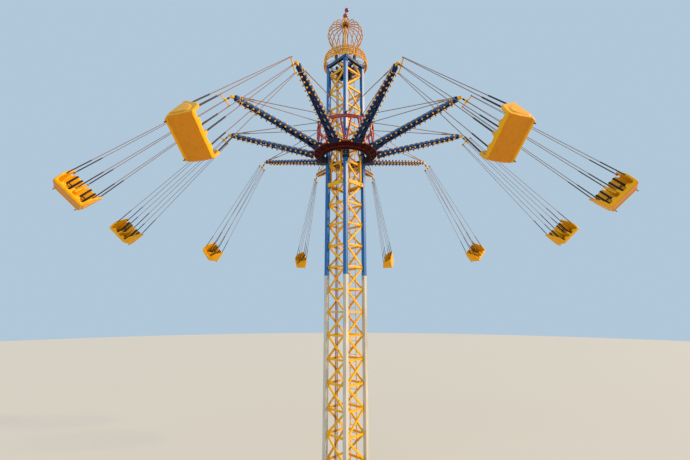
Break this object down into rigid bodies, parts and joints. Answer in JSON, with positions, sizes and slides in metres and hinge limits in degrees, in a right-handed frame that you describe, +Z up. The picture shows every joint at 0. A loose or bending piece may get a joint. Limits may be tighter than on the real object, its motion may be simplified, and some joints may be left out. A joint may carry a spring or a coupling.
{
  "type": "chair swing ride",
  "caption": "Lattice tower with a gold crown, a lifting carriage and a turning ring of arms that swing double chairs on long lines.",
  "frame": {"origin": "middle of the base plate's underside", "axes": "+Z up along the tower; the tower's faces look along X and Y; the picture looks at the +X -Y corner"},
  "size_m": [22.41, 22.41, 24.1],
  "materials": {
    "base_grey": "matt grey paint on steel plate",
    "column_cream": "satin cream paint",
    "column_blue": "gloss blue paint",
    "lattice_yellow": "satin golden yellow paint",
    "frame_blue": "gloss blue paint",
    "hoist_dark": "dark oiled steel",
    "crown_gold": "gold metallic paint",
    "finial_red": "gloss red paint",
    "carriage_yellow": "satin golden yellow paint",
    "roller_dark": "dark steel boxes and wheels",
    "ring_red": "gloss brick red paint",
    "stay_steel": "galvanised rod",
    "arm_blue": "gloss blue paint",
    "hanger_gold": "gold paint on the spreader, plain chain below it",
    "seat_shell": "gloss yellow-orange moulded shell"
  },
  "bodies": {
    "tower": {"base_plate": "base_grey", "column_lower_1": "column_cream", "column_lower_2": "column_cream", "column_lower_3": "column_cream", "column_lower_4": "column_cream", "column_upper_1": "column_blue", "column_upper_2": "column_blue", "column_upper_3": "column_blue", "column_upper_4": "column_blue", "lattice_1": "lattice_yellow", "lattice_2": "lattice_yellow", "lattice_3": "lattice_yellow", "lattice_4": "lattice_yellow", "top_frame": "frame_blue", "hoist": "hoist_dark", "crown_skirt": "crown_gold", "crown_globe": "crown_gold", "finial": "finial_red"},
    "carriage": {"carriage_frame": "carriage_yellow", "guide_rollers": "roller_dark"},
    "rotor": {"lower_ring": "ring_red", "upper_ring": "ring_red", "stays_1": "stay_steel", "stays_2": "stay_steel", "stays_3": "stay_steel", "stays_4": "stay_steel", "stays_5": "stay_steel", "arm_01": "arm_blue", "arm_02": "arm_blue", "arm_03": "arm_blue", "arm_04": "arm_blue", "arm_05": "arm_blue", "arm_06": "arm_blue", "arm_07": "arm_blue", "arm_08": "arm_blue", "arm_09": "arm_blue", "arm_10": "arm_blue"},
    "chair_01": {"hanger_01": "hanger_gold", "seat_01": "seat_shell"},
    "chair_02": {"hanger_02": "hanger_gold", "seat_02": "seat_shell"},
    "chair_03": {"hanger_03": "hanger_gold", "seat_03": "seat_shell"},
    "chair_04": {"hanger_04": "hanger_gold", "seat_04": "seat_shell"},
    "chair_05": {"hanger_05": "hanger_gold", "seat_05": "seat_shell"},
    "chair_06": {"hanger_06": "hanger_gold", "seat_06": "seat_shell"},
    "chair_07": {"hanger_07": "hanger_gold", "seat_07": "seat_shell"},
    "chair_08": {"hanger_08": "hanger_gold", "seat_08": "seat_shell"},
    "chair_09": {"hanger_09": "hanger_gold", "seat_09": "seat_shell"},
    "chair_10": {"hanger_10": "hanger_gold", "seat_10": "seat_shell"}
  },
  "joints": [
    {"name": "carriage_lift", "type": "slide", "parent": "tower", "child": "carriage", "axis": [0, 0, 1], "range_m": [-8.35, 2.6]},
    {"name": "rotor_spin", "type": "hinge", "parent": "carriage", "child": "rotor", "pos_m": [0, 0, 15.1], "axis": [0, 0, 1], "continuous": true},
    {"name": "chair_01_swing", "type": "hinge", "parent": "rotor", "child": "chair_01", "pos_m": [5.34604, -2.72394, 16.3], "axis": [-0.454, -0.891, 0], "range_deg": [-46, 14]},
    {"name": "chair_02_swing", "type": "hinge", "parent": "rotor", "child": "chair_02", "pos_m": [5.92613, 0.93861, 16.3], "axis": [0.1564, -0.9877, 0], "range_deg": [-46, 14]},
    {"name": "chair_03_swing", "type": "hinge", "parent": "rotor", "child": "chair_03", "pos_m": [4.24264, 4.24264, 16.3], "axis": [0.7071, -0.7071, 0], "range_deg": [-46, 14]},
    {"name": "chair_04_swing", "type": "hinge", "parent": "rotor", "child": "chair_04", "pos_m": [0.93861, 5.92613, 16.3], "axis": [0.9877, -0.1564, 0], "range_deg": [-46, 14]},
    {"name": "chair_05_swing", "type": "hinge", "parent": "rotor", "child": "chair_05", "pos_m": [-2.72394, 5.34604, 16.3], "axis": [0.891, 0.454, 0], "range_deg": [-46, 14]},
    {"name": "chair_06_swing", "type": "hinge", "parent": "rotor", "child": "chair_06", "pos_m": [-5.34604, 2.72394, 16.3], "axis": [0.454, 0.891, 0], "range_deg": [-46, 14]},
    {"name": "chair_07_swing", "type": "hinge", "parent": "rotor", "child": "chair_07", "pos_m": [-5.92613, -0.93861, 16.3], "axis": [-0.1564, 0.9877, 0], "range_deg": [-46, 14]},
    {"name": "chair_08_swing", "type": "hinge", "parent": "rotor", "child": "chair_08", "pos_m": [-4.24264, -4.24264, 16.3], "axis": [-0.7071, 0.7071, 0], "range_deg": [-46, 14]},
    {"name": "chair_09_swing", "type": "hinge", "parent": "rotor", "child": "chair_09", "pos_m": [-0.93861, -5.92613, 16.3], "axis": [-0.9877, 0.1564, 0], "range_deg": [-46, 14]},
    {"name": "chair_10_swing", "type": "hinge", "parent": "rotor", "child": "chair_10", "pos_m": [2.72394, -5.34604, 16.3], "axis": [-0.891, -0.454, 0], "range_deg": [-46, 14]}
  ]
}
